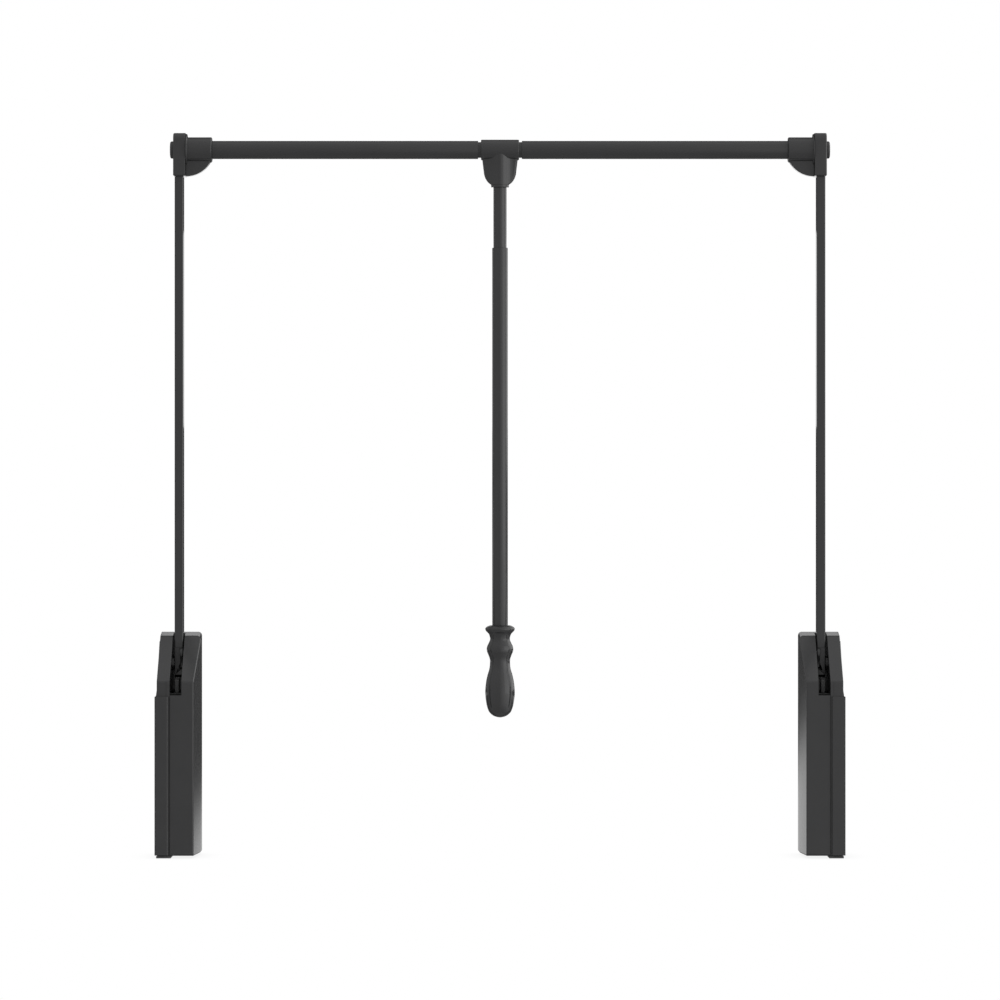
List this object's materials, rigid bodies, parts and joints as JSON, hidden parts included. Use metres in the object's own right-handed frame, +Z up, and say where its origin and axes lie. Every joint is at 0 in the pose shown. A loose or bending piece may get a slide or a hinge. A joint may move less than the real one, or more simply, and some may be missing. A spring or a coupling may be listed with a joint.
{
  "type": "pull down closet rod",
  "caption": "Spring-lifted pull down wardrobe rail: wall housings with hinged arms, a telescopic swivelling clothes rail and a telescopic pull rod with a turned handle.",
  "frame": {"origin": "middle of the width and depth, at the underside of the two feet", "axes": "+X to the right seen from the front, -Y towards the user, +Z up"},
  "size_m": [0.83, 0.09, 0.8763],
  "materials": {
    "black_shell": "fine satin black moulding",
    "black_steel": "satin black powder coat",
    "black_handle": "smooth satin black",
    "black_rubber": "matte",
    "plain_steel": "zinc plated",
    "black_nylon": "smooth black nylon"
  },
  "bodies": {
    "left_housing": {"left_mounting_plate": "black_steel", "left_outer_shell": "black_shell", "left_inner_shell": "black_shell", "left_cover_strip": "black_shell", "left_bottom_foot": "black_rubber", "left_pivot_shaft": "plain_steel", "left_retaining_clip": "plain_steel", "left_spring_canister": "plain_steel", "left_lift_spring": "plain_steel", "left_lower_stop_buffer": "black_rubber", "left_upper_stop_buffer": "black_rubber", "left_shell_screw_upper": "plain_steel", "left_shell_screw_lower": "plain_steel"},
    "right_housing": {"right_mounting_plate": "black_steel", "right_outer_shell": "black_shell", "right_inner_shell": "black_shell", "right_cover_strip": "black_shell", "right_bottom_foot": "black_rubber", "right_pivot_shaft": "plain_steel", "right_retaining_clip": "plain_steel", "right_spring_canister": "plain_steel", "right_lift_spring": "plain_steel", "right_lower_stop_buffer": "black_rubber", "right_upper_stop_buffer": "black_rubber", "right_shell_screw_upper": "plain_steel", "right_shell_screw_lower": "plain_steel"},
    "left_arm": {"left_arm_hub": "black_steel", "left_pivot_bush": "black_nylon", "left_crank_pin": "plain_steel", "left_arm_tube": "black_steel", "left_arm_end_block": "black_shell", "left_swivel_pin": "plain_steel", "left_swivel_cap": "black_shell"},
    "right_arm": {"right_arm_hub": "black_steel", "right_pivot_bush": "black_nylon", "right_crank_pin": "plain_steel", "right_arm_tube": "black_steel", "right_arm_end_block": "black_shell", "right_swivel_pin": "plain_steel", "right_swivel_cap": "black_shell"},
    "left_spring_plunger": {"left_plunger": "black_nylon"},
    "right_spring_plunger": {"right_plunger": "black_nylon"},
    "left_rail": {"left_rail_socket": "black_shell", "left_socket_screw": "plain_steel", "left_rail_outer_tube": "black_steel"},
    "right_rail": {"right_rail_socket": "black_shell", "right_socket_screw": "plain_steel", "right_rail_outer_tube": "black_steel"},
    "rail_middle": {"rail_inner_tube": "black_steel", "left_rail_glide": "black_nylon", "right_rail_glide": "black_nylon", "tee_connector": "black_shell", "tee_screw": "plain_steel", "pull_inner_tube": "black_steel", "pull_glide": "black_nylon"},
    "pull_rod": {"pull_outer_tube": "black_steel", "handle": "black_handle", "handle_screw": "plain_steel"}
  },
  "joints": [
    {"name": "width_adjust", "type": "slide", "parent": "left_housing", "child": "right_housing", "axis": [1, 0, 0], "range_m": [-0.006, 0.32]},
    {"name": "arm_lift", "type": "hinge", "parent": "left_housing", "child": "left_arm", "pos_m": [-0.38975, 0.025, 0.232], "axis": [1, 0, 0], "range_deg": [0, 100], "stiffness_Nm_per_rad": 12, "springref_deg": -22.92},
    {"name": "right_arm_lift", "type": "hinge", "parent": "right_housing", "child": "right_arm", "pos_m": [0.38975, 0.025, 0.232], "axis": [1, 0, 0], "range_deg": [0, 100]},
    {"name": "left_plunger_slide", "type": "slide", "parent": "left_housing", "child": "left_spring_plunger", "axis": [0, 0, -1], "range_m": [0, 0.0246], "deforming": ["left_lift_spring"]},
    {"name": "right_plunger_slide", "type": "slide", "parent": "right_housing", "child": "right_spring_plunger", "axis": [0, 0, -1], "range_m": [0, 0.0246], "deforming": ["right_lift_spring"]},
    {"name": "rail_swivel", "type": "hinge", "parent": "left_arm", "child": "left_rail", "pos_m": [-0.38, 0.025, 0.8563], "axis": [1, 0, 0], "range_deg": [-125, 30]},
    {"name": "rail_middle_slide", "type": "slide", "parent": "left_rail", "child": "rail_middle", "axis": [1, 0, 0], "range_m": [-0.003, 0.16]},
    {"name": "right_rail_slide", "type": "slide", "parent": "rail_middle", "child": "right_rail", "axis": [1, 0, 0], "range_m": [-0.003, 0.16]},
    {"name": "pull_rod_slide", "type": "slide", "parent": "rail_middle", "child": "pull_rod", "axis": [0, 0, -1], "range_m": [-0.065, 0.15]}
  ],
  "couplings": [
    {"joint": "right_arm_lift", "follows": "arm_lift", "ratio": 1},
    {"joint": "left_plunger_slide", "follows": "arm_lift", "m_per_rad": 0.014045},
    {"joint": "right_plunger_slide", "follows": "arm_lift", "m_per_rad": 0.014045},
    {"joint": "rail_middle_slide", "follows": "width_adjust", "ratio": 0.5},
    {"joint": "right_rail_slide", "follows": "width_adjust", "ratio": 0.5}
  ]
}
